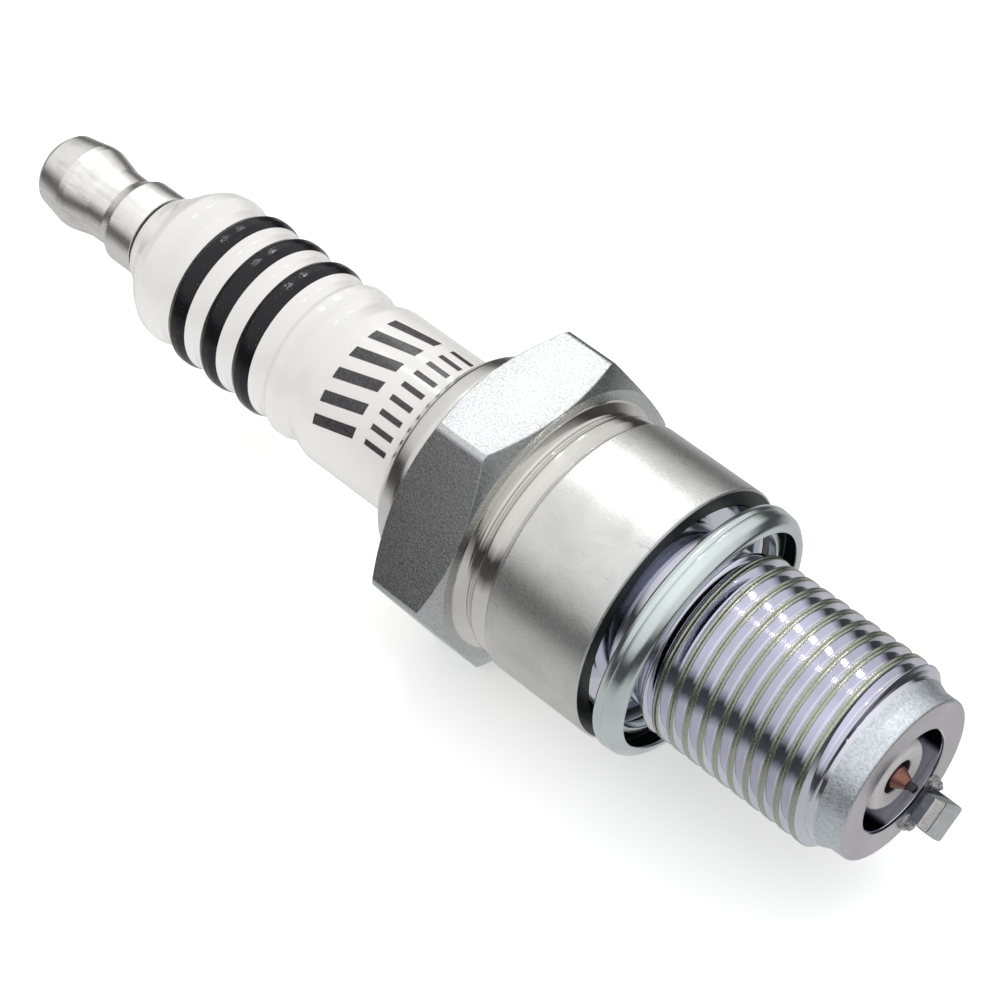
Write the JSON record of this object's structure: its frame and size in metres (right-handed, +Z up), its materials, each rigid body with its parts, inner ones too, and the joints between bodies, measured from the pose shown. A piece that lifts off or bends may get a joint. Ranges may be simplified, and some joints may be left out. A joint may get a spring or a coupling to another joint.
{
  "type": "spark plug",
  "caption": "Threaded engine spark plug with hexagon shell, ribbed white insulator, screw-on terminal nut, fold-formed gasket and a bent ground strap over a fine centre wire.",
  "frame": {"origin": "middle of the plug's length, on the surface that the hexagon's lower flat rests on", "axes": "+X along the plug from the terminal to the firing end, +Z up out of the opposite hexagon flat, +Y through a hexagon corner"},
  "size_m": [0.0814, 0.0238, 0.0208],
  "materials": {
    "nut_metal": "satin turned",
    "stud_steel": "plain turned steel",
    "glazed_alumina": "glossy clear glaze with printed black bands",
    "seal_glass": "fused conductive glass",
    "resistor_body": "matte carbon and glass mix",
    "electrode_nickel": "satin nickel alloy",
    "copper": "bare copper",
    "fine_wire": "bright fine wire",
    "plated_shell": "bright nickel plating, satin on the hexagon and barrel",
    "packing_steel": "plain steel",
    "talc": "pressed powder",
    "gasket_steel": "bright zinc plating",
    "strap_nickel": "satin nickel alloy"
  },
  "bodies": {
    "plug_body": {"terminal_stud": "stud_steel", "insulator": "glazed_alumina", "upper_glass_seal": "seal_glass", "resistor": "resistor_body", "lower_glass_seal": "seal_glass", "center_electrode": "electrode_nickel", "copper_core": "copper", "iridium_tip": "fine_wire", "shell": "plated_shell", "upper_packing_ring": "packing_steel", "talc_packing": "talc", "lower_packing_ring": "packing_steel", "seat_washer": "packing_steel", "ground_electrode": "strap_nickel"},
    "terminal_nut": {"terminal_nut": "nut_metal"},
    "gasket": {"gasket": "gasket_steel"}
  },
  "joints": [
    {"name": "terminal_nut_travel", "type": "slide", "parent": "plug_body", "child": "terminal_nut", "axis": [-1, 0, 0], "range_m": [0, 0.009]},
    {"name": "gasket_play", "type": "slide", "parent": "plug_body", "child": "gasket", "axis": [1, 0, 0], "range_m": [0, 0.0012]}
  ]
}
